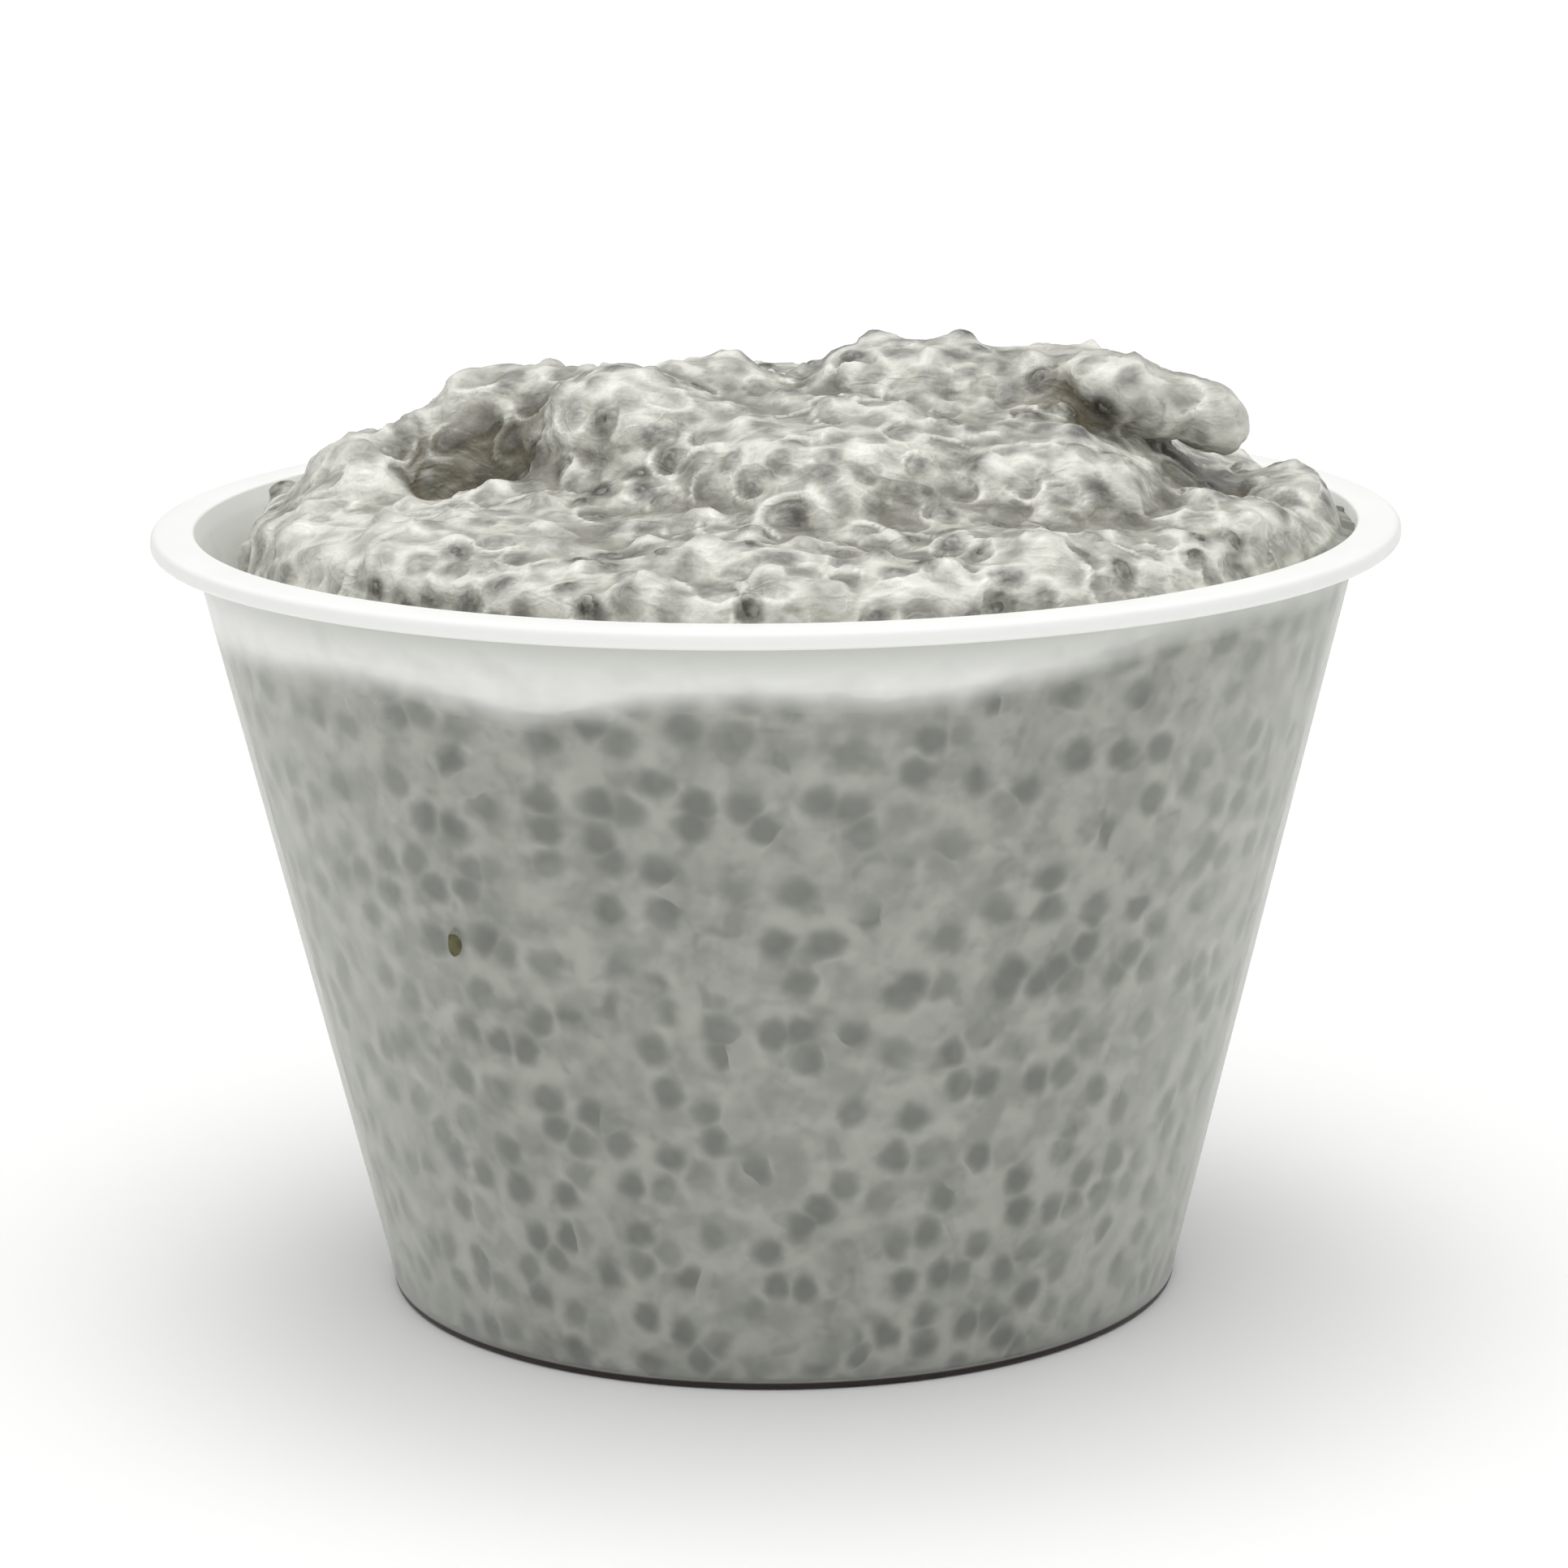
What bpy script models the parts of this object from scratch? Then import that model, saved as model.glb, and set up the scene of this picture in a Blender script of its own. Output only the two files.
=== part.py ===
"""A round plastic portion cup, heaped above its rim with chia pudding.

Two pieces, each one closed solid: the thin moulded cup, and the pudding that fills it. The pudding is one mass:
a body that follows the cup's wall, a dollop on top with a tongue that hangs over on the right, and the swollen
seeds that stand out of it.
Blender units are metres. The cup stands on z = 0 with its axis on z, and the camera side is -y.
"""

import math
import random

import bmesh
import bpy
from mathutils import Matrix, Vector, noise
from mathutils.bvhtree import BVHTree

MM = 0.001

# Cup, outside: the rim's flange, the funnel under it, the straight wall and the foot.
RIM_RADIUS = 37.0 * MM
RIM_INNER_RADIUS = 34.4 * MM
CUP_HEIGHT = 46.6 * MM
LIP_HEIGHT = 1.05 * MM
FUNNEL_TOP_RADIUS = 34.9 * MM
CREASE_HEIGHT = 43.3 * MM
FOOT_HEIGHT = 2.0 * MM
FOOT_RADIUS = 24.16 * MM
BASE_RADIUS = 23.8 * MM
WALL_SLOPE = 0.239

# Cup, inside and under it. The floor is the same sheet as the wall, so inside it follows the foot's ring.
WALL = 0.6 * MM
FLOOR_FILLET = 1.0 * MM
RECESS_DEPTH = 0.9 * MM
RECESS_RADIUS = 20.2 * MM
RING_INNER_RADIUS = 20.8 * MM
FLOOR_TOP = RECESS_DEPTH + WALL
STEP_SHIFT = 0.3 * MM
CUP_STEPS = 60

# Pudding, where it lies against the cup.
GAP = 0.35 * MM
SHOULDER_WIDTH = 3.2 * MM
SHOULDER_NARROWING = 0.35
GRID_CELLS = 34

# The line where the pudding meets the wall: angle round z in degrees, with -90 at the camera, and height in mm.
CONTACT_LINE = (
    (-180, 41.0), (-159, 41.1), (-133, 42.3), (-112, 40.7), (-102, 42.5), (-87, 42.7), (-79, 41.8),
    (-67, 42.9), (-54, 44.0), (-46, 45.2), (-36, 44.8), (-15, 46.1), (22, 46.1), (40, 44.8), (70, 43.0),
    (110, 42.0), (145, 42.6), (180, 41.0),
)

# Pudding, the lower dome and the dollop on it: height of each and its half widths.
DOME_BASE = 45.6 * MM
DOME_RISE = 4.4 * MM
DOME_RADIUS = 33.5 * MM
DOME_POWER = 3.0
DOLLOP_BASE = 47.6 * MM
DOLLOP_RISE = 6.6 * MM
DOLLOP_CENTRE = Vector((3.5, 1.5)) * MM
DOLLOP_HALF = Vector((23.5, 20.0)) * MM
DOLLOP_POWER = 3.4
BLEND = 1.4 * MM

# Unevenness of the top: height of the waves and how far apart they are, first broad and then fine.
BROAD_WAVE = 0.55 * MM
BROAD_SPACING = 6.0 * MM
FINE_WAVE = 0.35 * MM
FINE_SPACING = 3.0 * MM
FINE_START = Vector((7.0, 3.0, 1.0))

# Spoonfuls that make the heap uneven, in millimetres: centre, half sizes and turn about z in degrees.
SPOONFULS = (
    ((-15.0, 1.5, 50.4), (6.8, 5.6, 5.0), 15),
    ((-8.6, -3.2, 51.2), (6.5, 5.5, 4.8), -20),
    ((-3.8, 0.5, 52.6), (4.4, 3.8, 3.4), 10),
    ((8.4, 0.5, 53.0), (6.6, 6.2, 4.0), 0),
    ((16.4, 1.0, 52.1), (6.0, 6.0, 4.2), 20),
    ((3.0, -12.0, 48.8), (8.0, 6.5, 4.4), 0),
    ((15.5, -10.0, 48.6), (7.0, 6.0, 4.2), -25),
    ((-23.6, -1.0, 47.5), (4.4, 6.5, 4.4), 0),
    ((-17.0, -16.0, 45.2), (8.0, 6.5, 4.0), 30),
    ((-2.0, -24.0, 44.4), (9.0, 6.0, 4.4), 0),
    ((13.0, -22.0, 44.8), (7.0, 6.0, 4.2), -20),
    ((25.0, -13.0, 45.2), (6.0, 7.0, 4.0), 20),
    ((30.8, -1.5, 45.0), (4.4, 9.0, 3.9), 0),
    ((-13.0, 14.0, 47.4), (8.0, 7.0, 4.4), -30),
    ((2.0, 15.0, 47.8), (8.5, 7.0, 4.4), 0),
    ((16.0, 12.0, 48.2), (8.0, 7.5, 4.6), 25),
    ((-25.0, 11.0, 43.2), (6.0, 7.0, 4.0), 10),
    ((22.0, 20.0, 44.0), (7.0, 6.5, 4.4), 40),
    ((0.0, 27.0, 43.0), (9.0, 5.0, 4.2), 0),
    ((-17.0, 23.0, 43.0), (7.5, 6.0, 4.2), -35),
)

# The hollow under the dollop's left end, in millimetres: centre, half widths and depth.
HOLLOW_CENTRE = Vector((-17.9, -3.0)) * MM
HOLLOW_HALF = Vector((3.6, 2.4)) * MM
HOLLOW_DEPTH = 3.6 * MM

# Swollen seeds: each is a seed in its own jelly coat, half sunk in the cream.
SEED_COUNT = 150
SEED_HALF = Vector((1.3, 1.05, 0.9)) * MM
SEED_REACH = 31.2 * MM
SEED_SUNK = 0.15 * MM
SEED_SIDES = 6
SEED_RINGS = 4
RANDOM_SEED = 12
GOLDEN_ANGLE = math.pi * (3 - math.sqrt(5))

# The tongue that hangs over on the right, in millimetres: centre, half sizes, turn about z and tilt about y.
TONGUE = (
    ((21.0, -2.0, 53.9), (4.9, 3.6, 2.1), -8, 16),
    ((25.0, -2.8, 53.0), (3.3, 2.4, 1.9), -8, 26),
)

PLASTIC_COLOUR = (0.86, 0.87, 0.83, 1.0)
PUDDING_COLOUR = (0.58, 0.58, 0.53, 1.0)


def clear_scene():
    for old in list(bpy.data.objects):
        bpy.data.objects.remove(old)


def new_collection(name):
    collection = bpy.data.collections.new(name)
    bpy.context.scene.collection.children.link(collection)
    return collection


def new_material(name, colour, roughness, alpha=1.0):
    material = bpy.data.materials.new(name)
    material.use_nodes = True
    shader = material.node_tree.nodes["Principled BSDF"]
    shader.inputs["Base Color"].default_value = colour
    shader.inputs["Roughness"].default_value = roughness
    shader.inputs["Metallic"].default_value = 0.0
    shader.inputs["Alpha"].default_value = alpha
    return material


def object_from_bmesh(name, shape, collection, material=None):
    mesh = bpy.data.meshes.new(name)
    shape.to_mesh(mesh)
    shape.free()
    if material:
        mesh.materials.append(material)
    made = bpy.data.objects.new(name, mesh)
    collection.objects.link(made)
    return made


def outer_wall(z):
    """Radius of the cup's outside on its straight wall."""
    return FOOT_RADIUS + (z - FOOT_HEIGHT) * WALL_SLOPE


def inner_wall(z):
    """Radius of the cup's inside, a wall's thickness in from the outside."""
    return outer_wall(z) - WALL * math.hypot(1, WALL_SLOPE)


def rounded(corners, steps=3):
    """The outline through (radius, height, fillet) corners, each fillet drawn as an arc of that radius."""
    points = []
    for index, (r, z, fillet) in enumerate(corners):
        corner = Vector((r, z))
        if not fillet:
            points.append(corner)
            continue
        before = (Vector(corners[index - 1][:2]) - corner).normalized()
        after = (Vector(corners[index + 1][:2]) - corner).normalized()
        half = before.angle(after) / 2
        centre = corner + (before + after).normalized() * fillet / math.sin(half)
        start = corner + before * fillet / math.tan(half) - centre
        sweep = start.angle_signed(corner + after * fillet / math.tan(half) - centre)
        for step in range(steps + 1):
            turn = Matrix.Rotation(-sweep * step / steps, 2)
            points.append(centre + turn @ start)
    return points


def make_cup(collection):
    """The cup's section, up its inside and down its outside, turned round z."""
    outline = rounded((
        (0.0, FLOOR_TOP, 0.0),
        (RECESS_RADIUS + STEP_SHIFT, FLOOR_TOP, 0.0),
        (RING_INNER_RADIUS + STEP_SHIFT, WALL, 0.0),
        (inner_wall(WALL), WALL, FLOOR_FILLET),
        (inner_wall(CREASE_HEIGHT), CREASE_HEIGHT, 0.0),
        (RIM_INNER_RADIUS, CUP_HEIGHT, 0.3 * MM),
        (RIM_RADIUS, CUP_HEIGHT, 0.45 * MM),
        (RIM_RADIUS, CUP_HEIGHT - LIP_HEIGHT, 0.3 * MM),
        (FUNNEL_TOP_RADIUS, CUP_HEIGHT - LIP_HEIGHT, 0.0),
        (outer_wall(CREASE_HEIGHT), CREASE_HEIGHT, 0.0),
        (outer_wall(FOOT_HEIGHT), FOOT_HEIGHT, 0.0),
        (BASE_RADIUS, 0.0, 0.4 * MM),
        (RING_INNER_RADIUS, 0.0, 0.0),
        (RECESS_RADIUS, RECESS_DEPTH, 0.0),
        (0.0, RECESS_DEPTH, 0.0),
    ))
    section = bmesh.new()
    line = [section.verts.new((r, 0.0, z)) for r, z in outline]
    for start, end in zip(line, line[1:]):
        section.edges.new((start, end))
    plastic = new_material("frosted polypropylene", PLASTIC_COLOUR, 0.3, 0.45)
    cup = object_from_bmesh("cup", section, collection, plastic)
    turn = cup.modifiers.new("turn", "SCREW")
    turn.axis = "Z"
    turn.steps = CUP_STEPS
    turn.render_steps = CUP_STEPS
    turn.use_merge_vertices = True
    turn.merge_threshold = 0.01 * MM
    turn.use_smooth_shade = True
    return cup


def contact_height(angle):
    """How high the pudding touches the wall at an angle round z, between the points of the contact line."""
    turn = math.degrees(angle)
    for (start, low), (end, high) in zip(CONTACT_LINE, CONTACT_LINE[1:]):
        if turn <= end:
            break
    share = (turn - start) / (end - start)
    return (low + (high - low) * share) * MM


def smooth_max(a, b, width):
    """The larger of two heights, with the valley between them filled over that width."""
    share = max(width - abs(a - b), 0.0) / width
    return max(a, b) + share * share * width / 4


def flat_dome(x, y, power):
    """1 in the middle and 0 at distance 1 and beyond, with a flat crown and a steep flank."""
    distance = math.hypot(x, y)
    return 1 - min(distance, 1.0) ** power


def spoonful_height(spoonful, x, y):
    """Height of the top of one rounded spoonful over a point, or 0 outside it."""
    centre, half, turn = spoonful
    flat = Matrix.Rotation(-math.radians(turn), 2) @ (Vector((x, y)) / MM - Vector(centre[:2]))
    inside = 1 - (flat.x / half[0]) ** 2 - (flat.y / half[1]) ** 2
    if inside <= 0:
        return 0.0
    return (centre[2] + half[2] * math.sqrt(inside)) * MM


def surface_height(x, y):
    """Height of the pudding's top over a point, before its tongue and seeds."""
    dome = DOME_BASE + DOME_RISE * flat_dome(x / DOME_RADIUS, y / DOME_RADIUS, DOME_POWER)
    u = (x - DOLLOP_CENTRE.x) / DOLLOP_HALF.x
    v = (y - DOLLOP_CENTRE.y) / DOLLOP_HALF.y
    dollop = DOLLOP_BASE + DOLLOP_RISE * flat_dome(u, v, DOLLOP_POWER)
    height = smooth_max(dome, dollop, BLEND)
    for spoonful in SPOONFULS:
        height = smooth_max(height, spoonful_height(spoonful, x, y), BLEND)
    away = math.hypot((x - HOLLOW_CENTRE.x) / HOLLOW_HALF.x, (y - HOLLOW_CENTRE.y) / HOLLOW_HALF.y)
    height -= HOLLOW_DEPTH * math.exp(-away * away)
    place = Vector((x, y, 0.0))
    height += BROAD_WAVE * noise.noise(place / BROAD_SPACING)
    height += FINE_WAVE * noise.noise(place / FINE_SPACING + FINE_START)
    return height


def square_to_disc(x, y):
    """Sends the square of half side 1 to the disc of radius 1, with cells of even size."""
    if x == 0 and y == 0:
        return 0.0, 0.0
    if abs(x) > abs(y):
        radius, angle = x, math.pi / 4 * y / x
    else:
        radius, angle = y, math.pi / 2 - math.pi / 4 * x / y
    return radius * math.cos(angle), radius * math.sin(angle)


def top_point(x, y):
    """Where a point of the unit disc lies on the pudding's top. The edge is on the wall, and a shoulder joins them."""
    angle = math.atan2(y, x)
    contact = contact_height(angle)
    edge = inner_wall(contact) - GAP
    reach = math.hypot(x, y)
    radius = reach * edge
    place_x, place_y = radius * math.cos(angle), radius * math.sin(angle)
    height = surface_height(place_x, place_y)
    width = SHOULDER_WIDTH - SHOULDER_NARROWING * (contact - CONTACT_LINE[0][1] * MM)
    inward = min((edge - radius) / width, 1.0)
    shoulder = math.sqrt(1 - (1 - inward) ** 2)
    return Vector((place_x, place_y, contact + (height - contact) * shoulder))


def make_core(collection, material):
    """The pudding's body: a grid drawn into a disc for the top, with its edge extruded down the wall to the floor."""
    shape = bmesh.new()
    bmesh.ops.create_grid(shape, x_segments=GRID_CELLS, y_segments=GRID_CELLS, size=1.0)
    border = [edge for edge in shape.edges if edge.is_boundary]
    for vert in shape.verts:
        vert.co = top_point(*square_to_disc(vert.co.x, vert.co.y))
    bottom = WALL + GAP
    step = STEP_SHIFT + GAP
    for height, radius in (
        (bottom + FLOOR_FILLET, inner_wall(bottom + FLOOR_FILLET) - GAP),
        (bottom, inner_wall(bottom) - GAP - FLOOR_FILLET),
        (bottom, RING_INNER_RADIUS + step),
        (FLOOR_TOP + GAP, RECESS_RADIUS + step),
    ):
        ring = bmesh.ops.extrude_edge_only(shape, edges=border)["geom"]
        border = [item for item in ring if isinstance(item, bmesh.types.BMEdge) and item.is_boundary]
        for vert in {v for edge in border for v in edge.verts}:
            flat = vert.co.xy.normalized() * radius
            vert.co = Vector((flat.x, flat.y, height))
    bmesh.ops.contextual_create(shape, geom=border)
    bmesh.ops.recalc_face_normals(shape, faces=shape.faces)
    return object_from_bmesh("pudding", shape, collection, material)


def make_lobe(index, lobe, collection):
    """One rounded lobe of the tongue: a sphere at its half sizes, turned and tilted into place."""
    centre, half, turn, tilt = lobe
    bpy.ops.mesh.primitive_uv_sphere_add(segments=16, ring_count=9, radius=1.0)
    made = bpy.context.object
    made.name = f"lobe_{index + 1}"
    made.location = Vector(centre) * MM
    made.scale = Vector(half) * MM
    made.rotation_euler = (0.0, math.radians(tilt), math.radians(turn))
    for owner in list(made.users_collection):
        owner.objects.unlink(made)
    collection.objects.link(made)
    return made


def trees_of(objects):
    """A search tree of each object's faces, in world space."""
    bpy.context.view_layer.update()
    trees = []
    for item in objects:
        shape = bmesh.new()
        shape.from_mesh(item.data)
        shape.transform(item.matrix_world)
        trees.append(BVHTree.FromBMesh(shape))
        shape.free()
    return trees


def highest_hit(trees, x, y):
    """The first surface under a point that is looked down on, with its normal."""
    above = Vector((x, y, 2 * CUP_HEIGHT))
    hits = [tree.ray_cast(above, Vector((0, 0, -1)))[:2] for tree in trees]
    return max((hit for hit in hits if hit[0]), key=lambda hit: hit[0].z)


def make_seeds(trees, collection):
    """Swollen seeds over the whole top, on a golden-angle spiral with a little scatter."""
    draw = random.Random(RANDOM_SEED)
    unit = bmesh.new()
    bmesh.ops.create_uvsphere(unit, u_segments=SEED_SIDES, v_segments=SEED_RINGS, radius=1.0)
    template = bpy.data.meshes.new("seed")
    unit.to_mesh(template)
    unit.free()
    spacing = SEED_REACH / math.sqrt(SEED_COUNT)
    for index in range(SEED_COUNT):
        radius = SEED_REACH * math.sqrt((index + 0.5) / SEED_COUNT)
        x = radius * math.cos(index * GOLDEN_ANGLE) + draw.uniform(-0.2, 0.2) * spacing
        y = radius * math.sin(index * GOLDEN_ANGLE) + draw.uniform(-0.2, 0.2) * spacing
        place, normal = highest_hit(trees, x, y)
        size = draw.uniform(0.85, 1.15)
        upright = normal.to_track_quat("Z", "Y").to_matrix().to_4x4()
        turned = Matrix.Rotation(draw.uniform(0, math.pi), 4, "Z")
        sized = Matrix.Diagonal((*(SEED_HALF * size), 1.0))
        seed = bpy.data.objects.new(f"seed_{index + 1}", template)
        seed.matrix_world = Matrix.Translation(place - normal * SEED_SUNK) @ upright @ turned @ sized
        collection.objects.link(seed)


def fuse(body, pieces):
    """Joins a collection's objects to the body with one Boolean union, applies it and removes them."""
    bpy.context.view_layer.update()
    join = body.modifiers.new("fuse", "BOOLEAN")
    join.operation = "UNION"
    join.operand_type = "COLLECTION"
    join.collection = pieces
    join.solver = "MANIFOLD"
    bpy.context.view_layer.objects.active = body
    bpy.ops.object.modifier_apply(modifier=join.name)
    for item in list(pieces.objects):
        bpy.data.objects.remove(item)
    bpy.data.collections.remove(pieces)


def make_pudding(collection):
    """The pudding in one solid, with its lobes and seeds fused on."""
    cream = new_material("chia pudding", PUDDING_COLOUR, 0.35)
    body = make_core(collection, cream)
    fused = new_collection("fused pieces")
    lobes = [make_lobe(index, lobe, fused) for index, lobe in enumerate(TONGUE)]
    make_seeds(trees_of([body, *lobes]), fused)
    fuse(body, fused)
    body.data.shade_smooth()
    return body


def main():
    clear_scene()
    model = new_collection("chia pudding cup")
    make_cup(model)
    make_pudding(model)


main()
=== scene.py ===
# %% [markdown]
# # A plastic portion cup heaped with chia pudding
# The cup is a thin, milky one with a flat rim. The pudding fills it to the wall, so its seeds show through the
# plastic as grey dots, and it stands above the rim in uneven spoonfuls.
# The solid model is loaded first. It gives the size and the form, and everything below dresses it.

# %% Load the solids
import math
import random

import bpy
import numpy as np
from mathutils import Matrix, Vector
from mathutils.noise import noise as noise_value
from mathutils.kdtree import KDTree


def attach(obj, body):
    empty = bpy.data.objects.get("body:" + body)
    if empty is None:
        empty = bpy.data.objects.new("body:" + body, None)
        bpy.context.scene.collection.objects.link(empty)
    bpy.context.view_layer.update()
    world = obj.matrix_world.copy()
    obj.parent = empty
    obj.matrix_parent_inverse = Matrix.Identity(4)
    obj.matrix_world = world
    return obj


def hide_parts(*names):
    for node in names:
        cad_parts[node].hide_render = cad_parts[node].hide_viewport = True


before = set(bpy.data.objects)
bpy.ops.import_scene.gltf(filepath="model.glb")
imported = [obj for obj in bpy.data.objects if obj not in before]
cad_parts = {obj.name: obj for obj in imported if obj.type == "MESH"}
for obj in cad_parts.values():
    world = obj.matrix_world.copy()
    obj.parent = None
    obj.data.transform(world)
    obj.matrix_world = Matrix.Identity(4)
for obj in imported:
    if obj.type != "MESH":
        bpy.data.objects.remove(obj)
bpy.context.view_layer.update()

MM = 0.001

# %% [markdown]
# ## A few helpers
# Shaders work in linear light, but colours are easiest to read off a photo as sRGB hex, so one function turns one
# into the other. A second adds a node with its settings and links, which keeps each material short. A third picks
# vertices by a rule on their place, as a person would with a box or circle select. The small ones select an object,
# apply its modifiers, start a material, and store a number on each vertex for a material to read.


# %% Helpers
def linear(hex_colour):
    """An sRGB hex colour as the four linear numbers that a shader takes."""
    parts = [int(hex_colour[start:start + 2], 16) / 255 for start in (1, 3, 5)]
    return (*(p / 12.92 if p <= 0.04045 else ((p + 0.055) / 1.055) ** 2.4 for p in parts), 1.0)


def add(tree, kind, inputs=None, **settings):
    """Adds a node. Each input is given as a value, or as another node's output, which is then linked."""
    node = tree.nodes.new(kind)
    for name, value in settings.items():
        setattr(node, name, value)
    for socket, value in (inputs or {}).items():
        if isinstance(value, bpy.types.NodeSocket):
            tree.links.new(value, node.inputs[socket])
        else:
            node.inputs[socket].default_value = value
    return node


def only(obj):
    """Makes obj the one selected, active object."""
    bpy.ops.object.select_all(action="DESELECT")
    obj.select_set(True)
    bpy.context.view_layer.objects.active = obj


def pick(obj, rule):
    """Selects the vertices whose place in millimetres passes the rule, and nothing else, in edit mode."""
    bpy.ops.object.mode_set(mode="OBJECT")
    bpy.context.tool_settings.mesh_select_mode = (True, False, False)
    mesh = obj.data
    for part in (*mesh.vertices, *mesh.edges, *mesh.polygons):
        part.select = False
    for vert in mesh.vertices:
        vert.select = rule(vert.co / MM)
    bpy.ops.object.mode_set(mode="EDIT")


def apply_all(obj):
    """Applies every modifier of obj, in order."""
    only(obj)
    for modifier in list(obj.modifiers):
        bpy.ops.object.modifier_apply(modifier=modifier.name)


def material(name):
    """A new material, with its tree and its Principled shader."""
    made = bpy.data.materials.new(name)
    made.use_nodes = True
    return made, made.node_tree, made.node_tree.nodes["Principled BSDF"]


def attribute(obj, name, values):
    """Stores one number for each vertex, for a material to read."""
    layer = obj.data.attributes.new(name, "FLOAT", "POINT")
    layer.data.foreach_set("value", np.asarray(values, dtype=np.float32))


# %% [markdown]
# ## The cup's section
# A cup like this is pressed from sheet, so its wall, foot, funnel and rim are one turned section. The stations below
# are that section in millimetres, as radius and height: under the foot, up the outside, round the lip, and down the
# inside to the floor, which follows the foot's ring. Small arcs round the corners, since no pressed edge is sharp.
# The rows stand closer near the top, where the plastic's look changes within a few millimetres.

# %% The section's stations
STRAIGHT_FROM = 2.0
CLOSE_ROWS_FROM = 38.4
RIM_TOP = 46.6
LOW_RADIUS = 24.16
LEAN = 0.239
SHEET = 0.617
CORNER_Z = 0.75
CORNER = 0.15


def outside(z):
    """Radius of the straight wall's outside at a height, in millimetres."""
    return LOW_RADIUS + (z - STRAIGHT_FROM) * LEAN


def inside(z):
    """Radius of the straight wall's inside, which is the sheet's level thickness less."""
    return outside(z) - SHEET


def arc(r, z, radius, start, end, steps=5):
    """Stations round the corner that has its centre at (r, z), from one angle to another in degrees."""
    angles = [math.radians(start + (end - start) * step / steps) for step in range(steps + 1)]
    return [(r + radius * math.cos(angle), z + radius * math.sin(angle)) for angle in angles]


wall_heights = [STRAIGHT_FROM + (CLOSE_ROWS_FROM - STRAIGHT_FROM) * step / 8 for step in range(9)]
wall_heights += [CLOSE_ROWS_FROM + 0.49 * step for step in range(1, 11)]
stations = [(20.2, 0.9), (20.8, 0.0)]
stations += arc(23.45, 0.4, 0.4, -90, 6)
stations += [(outside(z), z) for z in wall_heights]
stations += [(34.86, 45.5), (35.0, 45.55)]
stations += arc(36.7, 45.85, 0.3, -90, 0) + arc(36.55, RIM_TOP - 0.45, 0.45, 0, 90)
stations += arc(34.62, RIM_TOP - 0.22, 0.22, 90, 160)
stations += [(inside(z), z) for z in reversed(wall_heights[1:])]
stations += arc(inside(CORNER_Z) - CORNER, CORNER_Z, CORNER, 0, -90)
stations += [(21.4, 0.6), (20.9, 0.75), (20.5, 1.35), (20.0, 1.5)]
print(len(stations), "stations, from the foot at", round(outside(0), 1), "mm out to the rim at",
      round(max(r for r, z in stations), 1), "mm")

# %% [markdown]
# ## Draw the cup out, ring by ring
# This could be a Screw modifier on a drawn line. Pulling rings out of one circle is the same job by hand: extrude
# the open edge, move it to the next height, and scale it to the next radius. Both ends are then filled.

# %% Make the cup
CUP_SIDES = 192
bpy.ops.object.select_all(action="DESELECT")
bpy.ops.mesh.primitive_circle_add(vertices=CUP_SIDES, radius=stations[0][0] * MM,
                                  location=(0, 0, stations[0][1] * MM))
cup = bpy.context.object
cup.name = "cup_wall"
bpy.ops.object.transform_apply(location=True, rotation=True, scale=True)
bpy.ops.object.mode_set(mode="EDIT")
bpy.ops.mesh.select_all(action="SELECT")
for (r, z), (next_r, next_z) in zip(stations, stations[1:]):
    bpy.ops.mesh.extrude_edges_move(TRANSFORM_OT_translate={"value": (0, 0, (next_z - z) * MM)})
    grow = next_r / r
    bpy.ops.transform.resize(value=(grow, grow, 1), center_override=(0, 0, next_z * MM))
bpy.ops.mesh.select_all(action="SELECT")
bpy.ops.mesh.fill_holes(sides=0)
bpy.ops.mesh.select_all(action="SELECT")
bpy.ops.mesh.normals_make_consistent(inside=False)
bpy.ops.object.mode_set(mode="OBJECT")
bpy.ops.object.shade_smooth_by_angle(angle=math.radians(35))
print("cup:", len(cup.data.polygons), "faces,", [round(side / MM, 2) for side in cup.dimensions], "mm")

# %% [markdown]
# ## Milky polypropylene
# Natural polypropylene isn't clear like glass. Its crystals scatter light, so a thin sheet looks like frosted paper:
# you see what touches it, greyed and softened, and little of what is further off. Where the sheet stands off the
# cream, light scatters in the gap too, and the sheet looks white. The flange is bent back on itself and looks solid.
# An attribute called veil carries this: 0 where cream touches the sheet, and 1 where the sheet hides all behind it.
# A second is 1 on the outside just under the flange, where painted shade greys the sheet, for the shadow the lip casts
# there.
# Both are measured further down, once the pudding is in. Towards the cup's edges the eye looks along the sheet,
# through more of it, so it hides more there. A thin, dark, brownish line of painted shadow runs round the foot's
# turned-under edge, for the shadow where the cup meets the floor.

# %% Give the cup its plastic
FLANGE_FROM, FLANGE_TO = 45.3 * MM, 45.7 * MM
# Heights of the painted shadow line round the foot.
FOOT_SHADOW_FROM, FOOT_SHADOW_TO = 0.62 * MM, 0.42 * MM
FOOT_HAZE_FROM, FOOT_HAZE_TO = 1.8 * MM, 0.7 * MM
plastic, nodes, shader = material("milky polypropylene")
place = add(nodes, "ShaderNodeTexCoord").outputs["Object"]
veil = add(nodes, "ShaderNodeAttribute", attribute_name="veil").outputs["Fac"]
height = add(nodes, "ShaderNodeSeparateXYZ", {"Vector": place}).outputs["Z"]
flange = add(nodes, "ShaderNodeMapRange", {"Value": height, "From Min": FLANGE_FROM,
                                           "From Max": FLANGE_TO}).outputs[0]
foot = add(nodes, "ShaderNodeMapRange", {"Value": height, "From Min": FOOT_SHADOW_FROM,
                                         "From Max": FOOT_SHADOW_TO}).outputs[0]
under_lip_shade = add(nodes, "ShaderNodeAttribute", attribute_name="under_lip_shade").outputs["Fac"]
stands_off = add(nodes, "ShaderNodeMapRange", {"Value": veil, "From Max": 0.65}).outputs[0]
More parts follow.
